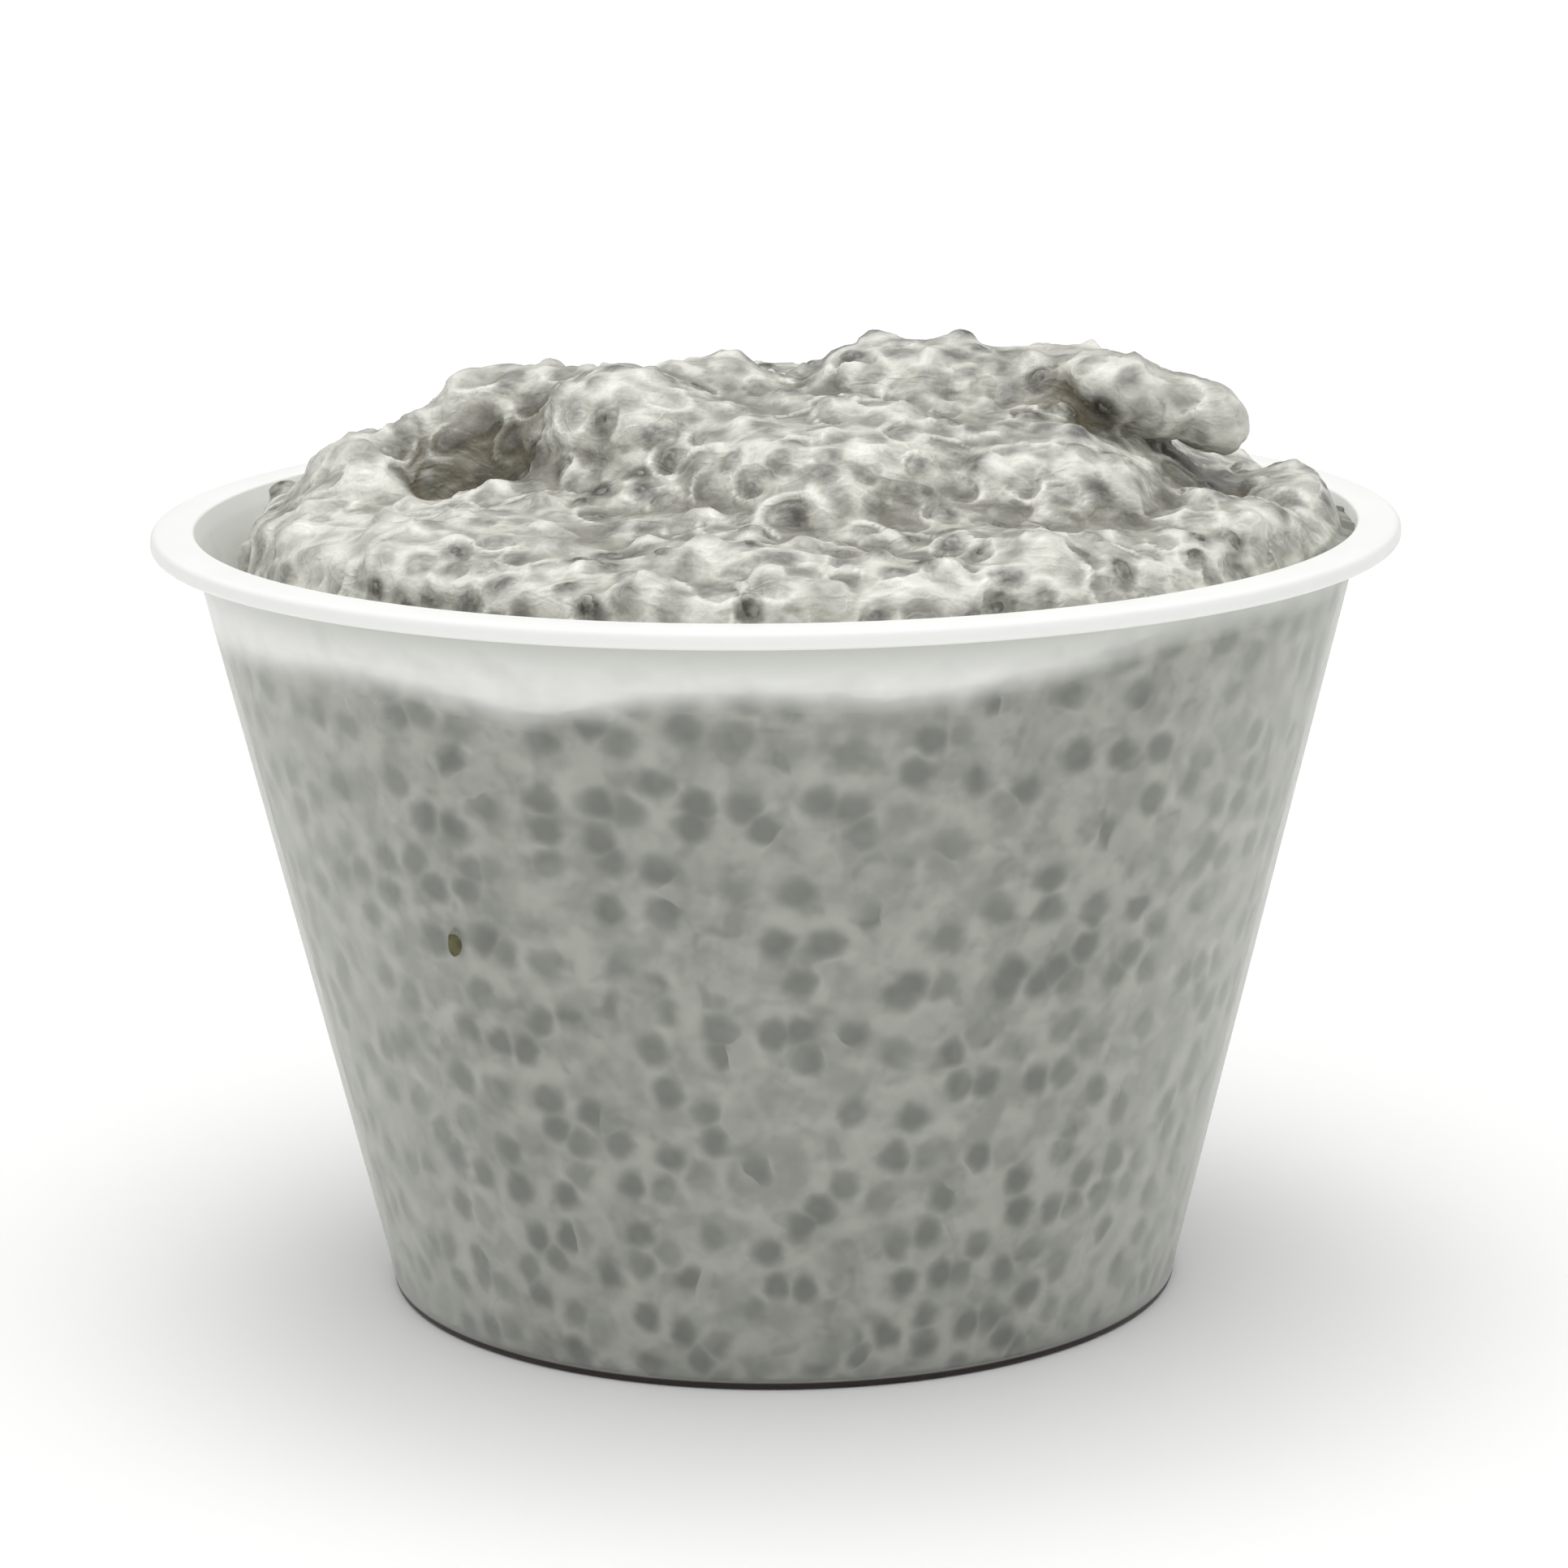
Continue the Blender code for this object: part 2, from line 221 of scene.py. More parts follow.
touched = add(nodes, "ShaderNodeMix", {"Factor": stands_off, "A": linear("#e0e2db"), "B": linear("#f5f6f2")},
              data_type="RGBA").outputs["Result"]
# Painted shade: the outside just under the flange is greyed, where the lip's shadow falls.
shaded = add(nodes, "ShaderNodeMix", {"Factor": under_lip_shade, "A": touched, "B": linear("#c6c8c2")},
             data_type="RGBA").outputs["Result"]
white = add(nodes, "ShaderNodeMix", {"Factor": flange, "A": shaded, "B": linear("#fcfdfa")},
            data_type="RGBA").outputs["Result"]
# Painted shadow: a thin dark brownish line round the foot's edge, where the cup meets the floor. The sheet is nearly
# shut there too.
foot_shadow_tint = add(nodes, "ShaderNodeMix", {"Factor": foot, "A": white, "B": linear("#332b29")}, data_type="RGBA")
nodes.links.new(foot_shadow_tint.outputs["Result"], shader.inputs["Base Color"])
grazing = add(nodes, "ShaderNodeLayerWeight", {"Blend": 0.5}).outputs["Facing"]
long_way = add(nodes, "ShaderNodeMapRange", {"Value": grazing, "From Min": 0.3, "From Max": 1.0, "To Min": 0.2,
                                             "To Max": 0.74}).outputs[0]
foot_haze = add(nodes, "ShaderNodeMapRange", {"Value": height, "From Min": FOOT_HAZE_FROM, "From Max": FOOT_HAZE_TO,
                                              "To Max": 0.08}).outputs[0]
long_way = add(nodes, "ShaderNodeMath", {0: long_way, 1: foot_haze}, operation="ADD").outputs[0]
smears = add(nodes, "ShaderNodeTexNoise", {"Vector": place, "Scale": 1 / (3.0 * MM), "Detail": 2.0}).outputs["Fac"]
patchy = add(nodes, "ShaderNodeMath", {0: smears, 1: 0.5, 2: veil}, operation="MULTIPLY_ADD").outputs[0]
hides = add(nodes, "ShaderNodeMapRange", {"Value": patchy, "From Min": 0.25, "From Max": 1.1, "To Min": long_way,
                                          "To Max": 0.95}).outputs[0]
shut = add(nodes, "ShaderNodeMix", {"Factor": foot, "A": hides, "B": 0.95}).outputs["Result"]
nodes.links.new(shut, shader.inputs["Alpha"])
haze = add(nodes, "ShaderNodeTexNoise", {"Vector": place, "Scale": 1 / (4.5 * MM), "Detail": 2.0})
gloss = add(nodes, "ShaderNodeMapRange", {"Value": haze.outputs["Fac"], "To Min": 0.32, "To Max": 0.48})
nodes.links.new(gloss.outputs[0], shader.inputs["Roughness"])
shader.inputs["IOR"].default_value = 1.49
shader.inputs["Specular IOR Level"].default_value = 0.25
cup.data.materials.append(plastic)
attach(cup, "root")
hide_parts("cup")
print("plastic has", len(nodes.nodes), "nodes")

# %% [markdown]
# ## The pudding's body
# The pudding starts as a copy of the solid, merged into one skin. A voxel remesh gives it even, fine faces, like
# clay ready for sculpting, and a smooth pass melts the solid's flat facets into soft mounds.

# %% Remesh a copy of the solid
FINE = 0.32
pudding = bpy.data.objects.new("pudding_mass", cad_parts["pudding"].data.copy())
bpy.context.scene.collection.objects.link(pudding)
pudding.data.materials.clear()
only(pudding)
bpy.ops.object.mode_set(mode="EDIT")
bpy.ops.mesh.select_all(action="SELECT")
bpy.ops.mesh.remove_doubles(threshold=0.01 * MM)
bpy.ops.object.mode_set(mode="OBJECT")
pudding.data.remesh_voxel_size = FINE * MM
bpy.ops.object.voxel_remesh()
melt = pudding.modifiers.new("melt", "SMOOTH")
melt.factor = 0.5
melt.iterations = 26
apply_all(pudding)
print("remeshed:", len(pudding.data.polygons), "faces")

# %% [markdown]
# ## Press it against the wall
# The solid stays a third of a millimetre off the plastic. The real pudding wets it, and a gap would show as a
# bright line, so here it reaches just into the wall. Only the top needs the fine faces. The part below is cut away,
# and its open edge is drawn down the wall again in long rows, as the cup was.

# %% Cut, widen and draw down
CUT = 40.0
GAP = 0.35
SLACK = 0.16
INTO_WALL = 0.3
ROWS = 12
LOWEST_ROW = 1.0
only(pudding)
bpy.ops.object.mode_set(mode="EDIT")
bpy.ops.mesh.select_all(action="SELECT")
bpy.ops.mesh.bisect(plane_co=(0, 0, CUT * MM), plane_no=(0, 0, 1), clear_inner=True, threshold=0.001 * MM)


def on_wall(co):
    """True for a point in millimetres that lies along the wall."""
    return math.hypot(co.x, co.y) > inside(co.z) - GAP - SLACK and co.z < RIM_TOP - 0.4


bpy.ops.mesh.select_all(action="SELECT")
bpy.ops.mesh.remove_doubles(threshold=0.03 * MM)
pick(pudding, on_wall)
widen = (inside(CUT) + INTO_WALL) / (inside(CUT) - GAP)
bpy.ops.transform.resize(value=(widen, widen, 1), center_override=(0, 0, 0))
edge_path = [(inside(z) + INTO_WALL, z) for z in (CUT - (CUT - LOWEST_ROW) * row / ROWS for row in range(ROWS + 1))]
edge_path += arc(inside(CORNER_Z) - CORNER, CORNER_Z, CORNER + INTO_WALL, 0, -90)
edge_path += [(21.3, 0.45), (20.8, 0.62), (20.4, 1.25), (19.95, 1.36)]
bpy.ops.mesh.select_mode(type="EDGE")
bpy.ops.mesh.select_all(action="DESELECT")
bpy.ops.mesh.select_non_manifold(use_wire=False, use_boundary=True, use_multi_face=False, use_non_contiguous=False,
                                 use_verts=False)
for (r, z), (next_r, next_z) in zip(edge_path, edge_path[1:]):
    bpy.ops.mesh.extrude_edges_move(TRANSFORM_OT_translate={"value": (0, 0, (next_z - z) * MM)})
    grow = next_r / r
    bpy.ops.transform.resize(value=(grow, grow, 1), center_override=(0, 0, next_z * MM))
bpy.ops.mesh.select_all(action="SELECT")
bpy.ops.mesh.fill_holes(sides=0)
bpy.ops.mesh.select_all(action="SELECT")
bpy.ops.mesh.normals_make_consistent(inside=False)
bpy.ops.object.mode_set(mode="OBJECT")
print("pressed to the wall:", len(pudding.data.polygons), "faces")

# %% [markdown]
# ## Crags in the cream
# Spooned pudding tears rather than flows. Three Displace passes push the open top in and out along its normals: long
# drag marks, which an empty turned and stretched along the spoon's way lays out; sharp-backed tears; and small clots.
# A vertex group keeps them off the wall, where the plastic holds the pudding smooth.

# %% Weight the open top
EASE = 2.2


def eased(value):
    """The value held between 0 and 1, with a soft start and end."""
    share = min(max(value, 0.0), 1.0)
    return share * share * (3 - 2 * share)


def openness(co):
    """0 on the wall, rising to 1 over a few millimetres of open surface."""
    free = inside(min(co.z, RIM_TOP)) - GAP - math.hypot(co.x, co.y)
    return eased(free / EASE) if co.z > CUT else 0.0


group = pudding.vertex_groups.new(name="open")
for vert in pudding.data.vertices:
    group.add([vert.index], openness(vert.co / MM), "REPLACE")
print("open group weighted")

# %% Displace it
SPOON_TURN = 24
SPOON_DIP = 8
RELIEF = (("drag marks", "SOFT_NOISE", 3.6, 0.8), ("tears", "HARD_NOISE", 3.2, -0.5),
          ("clots", "SOFT_NOISE", 1.3, 0.22))
bpy.ops.object.empty_add(rotation=(0, math.radians(SPOON_DIP), math.radians(-SPOON_TURN)))
spoon_way = bpy.context.object
spoon_way.scale = (2.4, 1.0, 1.0)
bpy.context.view_layer.update()
for name, kind, spacing, depth in RELIEF:
    cloud = bpy.data.textures.new(name, "CLOUDS")
    cloud.noise_type = kind
    cloud.noise_scale = spacing * MM
    cloud.noise_depth = 1
    push = pudding.modifiers.new(name, "DISPLACE")
    push.texture = cloud
    push.texture_coords = "LOCAL" if name == "clots" else "OBJECT"
    push.texture_coords_object = spoon_way
    push.strength = depth * MM
    push.mid_level = 0.5
    push.vertex_group = "open"
apply_all(pudding)
bpy.data.objects.remove(spoon_way)
print("displaced", len(pudding.data.vertices), "vertices")

# %% [markdown]
# ## Where the seeds sit
# A soaked chia seed is about 2 mm long and wears a coat of clear jelly, so no two seeds touch. Their places are
# drawn at random, and one is kept only if it is far enough from those kept before. The random draw has a fixed
# start, so the heap comes out the same each time.

# %% Choose places for the seeds on the open top
def points_of(obj):
    """The vertices' places and normals, as arrays in metres."""
    found = []
    for name in ("co", "normal"):
        values = np.empty(len(obj.data.vertices) * 3)
        obj.data.vertices.foreach_get(name, values)
        found.append(values.reshape(-1, 3))
    return found


APART = 1.95
draw = random.Random(5)
places, normals = points_of(pudding)
open_share = np.array([openness(Vector(co) / MM) for co in places])
candidates = [int(index) for index in np.flatnonzero(open_share > 0.35)]
draw.shuffle(candidates)
cells = {}
seeds = []
for index in candidates:
    co = places[index] / MM
    key = tuple(int(math.floor(value / APART)) for value in co)
    near = [other for dx in (-1, 0, 1) for dy in (-1, 0, 1) for dz in (-1, 0, 1)
            for other in cells.get((key[0] + dx, key[1] + dy, key[2] + dz), ())]
    if all(np.sum((co - other) ** 2) > APART ** 2 for other in near):
        cells.setdefault(key, []).append(co)
        seeds.append(index)
print(len(seeds), "seeds on the open top")

# %% [markdown]
# ## Swell the cream over each seed
# Each seed lifts the cream a little, in an oval, and the cream climbs round it in a collar, as any wet thing does. A
# sculptor would pull both out with a brush. Here each vertex finds its nearest seeds, and moves by the height of oval
# and collar at that distance. A collar stands up on one side only, so that it shows as a crescent. How deep each seed
# lies is drawn at random, and a shallow one shows darker. On the left, and at the tongue's tip, the spoon drew cream
# over the seeds, so they lie deeper there. Darkness, and a painted highlight along each crescent, are kept as
# attributes for the material.

# %% Ovals and their shade
OVAL_HALF = (1.2, 0.88)
OVAL_RISE = 0.2
COLLAR = 0.19


def drawn_over(x, y, z):
    """How far the spoon drew cream over the seeds, up to 1: on the left flank, and at the tongue's tip."""
    flank = math.exp(-((x + 23) / 7) ** 2 - ((y + 9) / 9) ** 2)
    tip = math.exp(-((x - 26) / 4) ** 2 - ((z - 53) / 3) ** 2)
    return min(flank + tip, 1.0)


def ring(away, middle, width):
    """1 at a ring round the seed, falling off softly on both sides of it."""
    return math.exp(-(((away - middle) / width) ** 2))


tree = KDTree(len(seeds))
seed_frames = []
crescents = []
for number, index in enumerate(seeds):
    tree.insert(places[index], number)
    normal = Vector(normals[index])
    along = Matrix.Rotation(draw.uniform(0, math.pi), 3, normal) @ normal.orthogonal().normalized()
    size = draw.uniform(0.75, 1.15)
    shallow = draw.uniform(0.35, 1.0) * (1 - 0.6 * drawn_over(*places[index] / MM))
    seed_frames.append((Vector(places[index]), along, normal.cross(along), normal, size, shallow))
    crescents.append((draw.uniform(-math.pi, math.pi), draw.uniform(0.0, COLLAR)))
tree.balance()
rise = np.zeros(len(places))
shade = np.zeros(len(places))
collar_highlight = np.zeros(len(places))
for index in np.flatnonzero(open_share):
    for _, number, _ in tree.find_n(places[index], 3):
        centre, along, aside, normal, size, shallow = seed_frames[number]
        offset = (Vector(places[index]) - centre) / MM
        long_share, wide_share = offset.dot(along) / OVAL_HALF[0], offset.dot(aside) / OVAL_HALF[1]
        away = math.hypot(long_share, wide_share) / size
        dome = OVAL_RISE * shallow * max(1 - away * away, 0.0)
        turn, lift = crescents[number]
        lift *= 0.5 + 0.5 * math.cos(math.atan2(wide_share, long_share) - turn)
        collar = lift * (ring(away, 1.4, 0.24) - 0.6 * ring(away, 1.0, 0.2))
        rise[index] += dome + collar
        # Painted highlight: how pale the crescent on each collar's ridge is painted.
        collar_highlight[index] = max(collar_highlight[index], lift / COLLAR * ring(away, 1.36, 0.2))
        shade[index] = max(shade[index], shallow * min(max((1.2 - away) / 0.65, 0.0), 1.0))
rise *= open_share
shade *= np.minimum(open_share * 1.5, 1.0)
collar_highlight *= open_share
pudding.data.vertices.foreach_set("co", (places + normals * rise[:, None] * MM).ravel())
pudding.data.update()
print("ovals rise up to", round(float(rise.max()), 2), "mm")

# %% [markdown]
# ## Find hollows and crests
# Thick cream on a crest is painted paler, as a painted highlight, and cream in a hollow is painted brownish grey, as
# painted shade over the thin brownish jelly that collects there. Smoothing a copy of the surface shows which is which:
# where the smoothed surface lies above the real one there is a hollow. Three widths are measured, from a seed's own
# size to that of a spoonful. Four places are then touched up, by centre, half width and amount: the deep scoop on the
# left, whose light is cut off on all sides, gets more painted shade, a patch in front of it is painted paler, like a
# crest, the tongue's tip on the right gets a little painted shade, and its root is painted darker and brownish, like a
# hollow.

# %% Measure the hollows at three widths
ends = np.empty(len(pudding.data.edges) * 2, dtype=np.int64)
pudding.data.edges.foreach_get("vertices", ends)
ends = ends.reshape(-1, 2)
places, normals = points_of(pudding)
shares = np.maximum(np.bincount(ends.ravel(), minlength=len(places)), 1)


def smoothed(values, rounds):
    """Each vertex takes the mean of its neighbours, again and again."""
    for _ in range(rounds):
        sums = [np.bincount(ends[:, 0], values[ends[:, 1], axis], len(places))
                + np.bincount(ends[:, 1], values[ends[:, 0], axis], len(places)) for axis in range(3)]
        values = np.stack(sums, axis=1) / shares[:, None]
    return values


# Painted light, by centre, half width and amount: more painted shade in the scoop, a paler patch before it, a little
# painted shade at the tongue's tip and more at its root.
PAINTED_LIGHT_TOUCHES = (((-17.9, -3.2), (3.4, 2.6), 0.6), ((-23.0, -13.0), (7.0, 7.0), -0.3), ((26.0, -2.8), (3.8, 3.8), 0.3),
           ((16.8, -4.4), (1.9, 1.5), 0.45))
WIDTHS = ((6, 0.12, 0.26), (36, 0.36, 0.42), (160, 1.1, 0.32))
hollow_shade_crest_light = np.zeros(len(places))
for rounds, reach, weight in WIDTHS:
    depth = np.sum((smoothed(places, rounds) - places) * normals, axis=1) / MM
    hollow_shade_crest_light += weight * np.clip(depth / reach, -1, 1)
    print(rounds, "rounds: depth", np.round(np.percentile(depth[open_share > 0.9], (5, 50, 95)), 3), "mm")
hollow_shade_crest_light = 0.5 + 0.5 * hollow_shade_crest_light
for centre, half, amount in PAINTED_LIGHT_TOUCHES:
    away = np.sum(((places[:, :2] / MM - centre) / half) ** 2, axis=1)
    hollow_shade_crest_light += amount * np.exp(-away)
hollow_shade_crest_light = np.clip(hollow_shade_crest_light, 0, 1)

# %% [markdown]
# ## Find where the cream leaves the wall
# The line at which the heap lets go of the plastic wanders up and down round the cup. It is read off the pressed
# pudding in sectors, and the cup's veil rises across it. At the back, where the solid's line is even, a noise bends it.
# Merging left a few points without faces, which are swept away last, when nothing is counted by them any more.

# %% Store the attributes
SECTORS = 120
RIM = 37.0
WANDER = 2.2
WANDER_SIZE = 7.0
VEIL_BELOW_LINE = 1.6
VEIL_OVER = 2.3
UNDER_LIP_SHADE_FROM = 43.0
UNDER_LIP_SHADE_OVER = 2.2
pressed = [Vector(co) / MM for co in places if math.hypot(co[0], co[1]) / MM > inside(co[2] / MM) + 0.02]
contact = np.full(SECTORS, CUT)
for co in pressed:
    sector = int((math.degrees(math.atan2(co.y, co.x)) % 360) * SECTORS / 360) % SECTORS
    contact[sector] = max(contact[sector], co.z)
for _ in range(3):
    contact = (np.roll(contact, 1) + 2 * contact + np.roll(contact, -1)) / 4
veil_of = []
under_lip_shade_of = []
for vert in cup.data.vertices:
    co = vert.co / MM
    sector = (math.degrees(math.atan2(co.y, co.x)) % 360) * SECTORS / 360 - 0.5
    line = np.interp(sector, np.arange(-1, SECTORS + 1), np.concatenate((contact[-1:], contact, contact[:1])))
    line += WANDER * max(co.y / RIM, 0.0) * noise_value(Vector((co.x, co.y, 0.0)) / WANDER_SIZE)
    over_line = eased((co.z - line + VEIL_BELOW_LINE) / VEIL_OVER)
    at_flange = min(max((co.z - 45.2) / 0.3, 0.0), 1.0)
    veil_of.append(0.8 * over_line + 0.2 * at_flange)
    # Painted shade under the lip, on the outside only.
    on_outside = math.hypot(co.x, co.y) > outside(co.z) - SHEET / 2
    under_lip_shade_of.append(min(max((co.z - UNDER_LIP_SHADE_FROM) / UNDER_LIP_SHADE_OVER, 0.0), 1.0) if on_outside else 0.0)
attribute(cup, "veil", veil_of)
attribute(cup, "under_lip_shade", under_lip_shade_of)
attribute(pudding, "seed_shade", shade)
attribute(pudding, "crescent_highlight", collar_highlight)
attribute(pudding, "hollow_shade_crest_light", hollow_shade_crest_light)
attribute(pudding, "on_wall", 1.0 - open_share)
only(pudding)
bpy.ops.object.mode_set(mode="EDIT")
bpy.ops.mesh.select_all(action="SELECT")
bpy.ops.mesh.delete_loose(use_verts=True, use_edges=True, use_faces=False)
bpy.ops.object.mode_set(mode="OBJECT")
bpy.ops.object.shade_smooth()
print("cream leaves the wall at", round(float(contact.min()), 1), "to", round(float(contact.max()), 1), "mm, with",
      len(places) - len(pudding.data.vertices), "stray points swept away")

# %% [markdown]
# ## Seeds seen through plastic
# Against the wall no air lies between cream and plastic, so light sinks in and the mix looks mid grey. The seeds are
# drawn there by a flat Voronoi pattern wrapped round the cup. Each of its cells is one seed, with a darkness of its
# own, as some touch the wall and others lie behind a little cream, and paler cream is squeezed between them. Wrapping
# leaves one cut where the pattern's ends meet, so the front half takes a pattern that is cut at the back, the back
# half one that is cut in front, and they change over at the sides. Noise bends the spots out of round, and a wider
# one leaves patches of cream bare. At the top, where the heap's edge is seen from above, past the plastic, they fade.
# The short functions here add their nodes to whichever tree is called nodes when they are called.

# %% The pressed cream's colour
CELL = 2.75
MEAN_RADIUS = 29.0
made, nodes, shader = material("chia pudding cream")
place = add(nodes, "ShaderNodeTexCoord").outputs["Object"]


def noise(size, detail=2.0, vector=None):
    """A noise whose blobs are about size millimetres across."""
    return add(nodes, "ShaderNodeTexNoise", {"Vector": vector or place, "Scale": 1 / (size * MM), "Detail": detail})


def ramp(value, low, high, start=0.0, end=1.0):
    """Maps low..high smoothly onto start..end."""
    return add(nodes, "ShaderNodeMapRange", {"Value": value, "From Min": low, "From Max": high, "To Min": start,
                                             "To Max": end}, interpolation_type="SMOOTHSTEP").outputs[0]


def blend(factor, first, second):
    """Mixes two colours, each a hex colour or an output."""
    first, second = (linear(each) if isinstance(each, str) else each for each in (first, second))
    return add(nodes, "ShaderNodeMix", {"Factor": factor, "A": first, "B": second}, data_type="RGBA").outputs["Result"]


def times(first, second):
    """The product of two values."""
    return add(nodes, "ShaderNodeMath", {0: first, 1: second}, operation="MULTIPLY").outputs[0]


def bent_by(size, amount):
    """Object coordinates pushed about by a noise, so that what is drawn on them wanders."""
    centred = add(nodes, "ShaderNodeVectorMath", {0: noise(size, 1.0).outputs["Color"], 1: (0.5, 0.5, 0.5)},
                  operation="SUBTRACT").outputs[0]
    push = add(nodes, "ShaderNodeVectorMath", {0: centred, "Scale": amount * MM}, operation="SCALE").outputs[0]
    return add(nodes, "ShaderNodeVectorMath", {0: place, 1: push}, operation="ADD").outputs[0]


def unrolled(vector, way):
    """The wall laid flat: millimetres round the cup, and height. The cut falls at the back for 1, in front for -1."""
    parts = add(nodes, "ShaderNodeSeparateXYZ", {"Vector": vector}).outputs
    across, towards = times(parts["X"], way), times(parts["Y"], -way)
    turn = add(nodes, "ShaderNodeMath", {0: across, 1: towards}, operation="ARCTAN2").outputs[0]
    return add(nodes, "ShaderNodeCombineXYZ", {"X": times(turn, MEAN_RADIUS * MM), "Y": parts["Z"]}).outputs[0]


def seeds_seen(vector):
    """The grey of seeds against the wall, from 0 to 1, and the pale web of cream squeezed between them."""
    setup = {"Vector": vector, "Scale": 1 / (CELL * MM), "Randomness": 0.9}
    near = add(nodes, "ShaderNodeTexVoronoi", setup, voronoi_dimensions="2D")
    edge = add(nodes, "ShaderNodeTexVoronoi", setup, voronoi_dimensions="2D", feature="DISTANCE_TO_EDGE")
    own = add(nodes, "ShaderNodeSeparateColor", {"Color": near.outputs["Color"]}).outputs
    spot = times(ramp(near.outputs["Distance"], 0.16, 0.5, 1.0, 0.0), ramp(own["Red"], 0.0, 0.5, 0.2, 1.0))
    return spot, ramp(edge.outputs["Distance"], 0.0, 0.26, 1.0, 0.0)


CHANGE_OVER = 1.5 * MM
FADE_FROM, FADE_TO = 43.6 * MM, 45.0 * MM
wandering = bent_by(1.5, 0.8)
front, back = seeds_seen(unrolled(wandering, 1.0)), seeds_seen(unrolled(wandering, -1.0))
axes = add(nodes, "ShaderNodeSeparateXYZ", {"Vector": place}).outputs
backward = ramp(axes["Y"], -CHANGE_OVER, CHANGE_OVER)
spot, web = (add(nodes, "ShaderNodeMix", {"Factor": backward, "A": first, "B": second}).outputs["Result"]
             for first, second in zip(front, back))
bare = ramp(noise(7.0).outputs["Fac"], 0.6, 0.68, 1.0, 0.15)
soft_web = times(times(web, 0.34), ramp(noise(4.0).outputs["Fac"], 0.42, 0.58))
pressed_cream = blend(ramp(noise(2.0, 4.0).outputs["Fac"], 0.35, 0.65), "#8e9089", "#acada6")
behind = times(ramp(noise(1.7, 1.0, bent_by(3.0, 2.0)).outputs["Fac"], 0.56, 0.7), 0.35)
pressed_cream = blend(behind, pressed_cream, "#5a5c56")
spots = times(times(spot, bare), times(ramp(axes["Z"], FADE_FROM, FADE_TO, 1.0, 0.25), 0.82))
wall_colour = blend(spots, blend(times(soft_web, bare), pressed_cream, "#c3c4bc"), "#474944")
print("seed spots about", CELL, "mm apart")

# %% [markdown]
# ## Wet cream in the open
# On the top the attribute measured from the hollows paints light and shade into the cream: a painted highlight makes
# crests pale, and painted shade makes hollows brownish grey, over the thin jelly there. Thin filaments of drawn-out
# cream are where a stretched noise passes through its middle value. On crests they get a painted highlight too, as do
# the collars' crescents. Seeds darken the cream through the seed_shade attribute, and the on_wall attribute then
# joins this to the pressed look.

# %% The open top's colour
along_spoon = add(nodes, "ShaderNodeMapping", {"Vector": bent_by(4.0, 3.0), "Scale": (0.42, 1.0, 1.0),
                                               "Rotation": (0, 0, math.radians(SPOON_TURN))}).outputs[0]
drawn = noise(1.3, 2.0, along_spoon).outputs["Fac"]
off_middle = add(nodes, "ShaderNodeMath", {0: drawn, 1: 0.5}, operation="SUBTRACT").outputs[0]
filament_and_glint = ramp(add(nodes, "ShaderNodeMath", {0: off_middle}, operation="ABSOLUTE").outputs[0], 0.0, 0.1, 1.0, 0.0)
relief_shade_and_light = add(nodes, "ShaderNodeAttribute", attribute_name="hollow_shade_crest_light").outputs["Fac"]
cloudy = noise(1.8, 3.0).outputs["Fac"]
cream = blend(ramp(cloudy, 0.38, 0.62), "#cecdc2", "#a9a89d")
# Painted shade: hollows are painted brownish grey, the deepest browner still.
cream = blend(ramp(relief_shade_and_light, 0.54, 0.8, 0.0, 0.85), cream, "#828075")
cream = blend(ramp(relief_shade_and_light, 0.84, 1.0, 0.0, 0.85), cream, "#625b47")
# Painted highlight: crests are painted pale.
cream = blend(ramp(relief_shade_and_light, 0.48, 0.2, 0.0, 0.6), cream, "#f1f0e8")
crest_highlight = ramp(relief_shade_and_light, 0.62, 0.4)
# Painted highlight: on crests the filaments are painted paler, for the glint on their wet edges.
cream = blend(times(times(filament_and_glint, crest_highlight), 0.4), cream, "#f1f0e8")
crescent_highlight = add(nodes, "ShaderNodeAttribute", attribute_name="crescent_highlight").outputs["Fac"]
# Painted highlight: the collars' crescents are painted pale, except in hollows.
cream = blend(times(times(ramp(crescent_highlight, 0.2, 0.8), ramp(relief_shade_and_light, 0.85, 0.6)), 0.55), cream, "#f4f3ec")
seed_shade = add(nodes, "ShaderNodeAttribute", attribute_name="seed_shade").outputs["Fac"]
mottled = ramp(noise(1.2, 3.0).outputs["Fac"], 0.35, 0.6, 0.6, 1.0)
top_colour = blend(times(seed_shade, mottled), cream, "#3f3e38")
on_wall_share = add(nodes, "ShaderNodeAttribute", attribute_name="on_wall").outputs["Fac"]
nodes.links.new(blend(ramp(on_wall_share, 0.8, 0.98), top_colour, wall_colour), shader.inputs["Base Color"])
print("cream coloured")

# %% [markdown]
# The relief finer than the mesh is a bump: the filaments stand up, and a grain lies between them. Jelly and milk make
# the top wet, so a thin clear coat adds small glints over the softer shine of the cream. Against the wall there is no
# air to make a shine or show a relief, so both fade out there.

# %% The open top's surface
grain = noise(0.5, 3.0).outputs["Fac"]
heights = add(nodes, "ShaderNodeMath", {0: filament_and_glint, 1: 0.35, 2: grain}, operation="MULTIPLY_ADD").outputs[0]
skin = add(nodes, "ShaderNodeBump", {"Height": heights, "Strength": ramp(on_wall_share, 0.9, 0.3, 0.0, 0.7),
                                     "Distance": 0.16 * MM})
nodes.links.new(skin.outputs["Normal"], shader.inputs["Normal"])
nodes.links.new(ramp(cloudy, 0.3, 0.7, 0.24, 0.5), shader.inputs["Roughness"])
shader.inputs["IOR"].default_value = 1.38
nodes.links.new(ramp(on_wall_share, 0.9, 0.3, 0.0, 0.5), shader.inputs["Specular IOR Level"])
nodes.links.new(ramp(on_wall_share, 0.9, 0.3, 0.0, 0.6), shader.inputs["Coat Weight"])
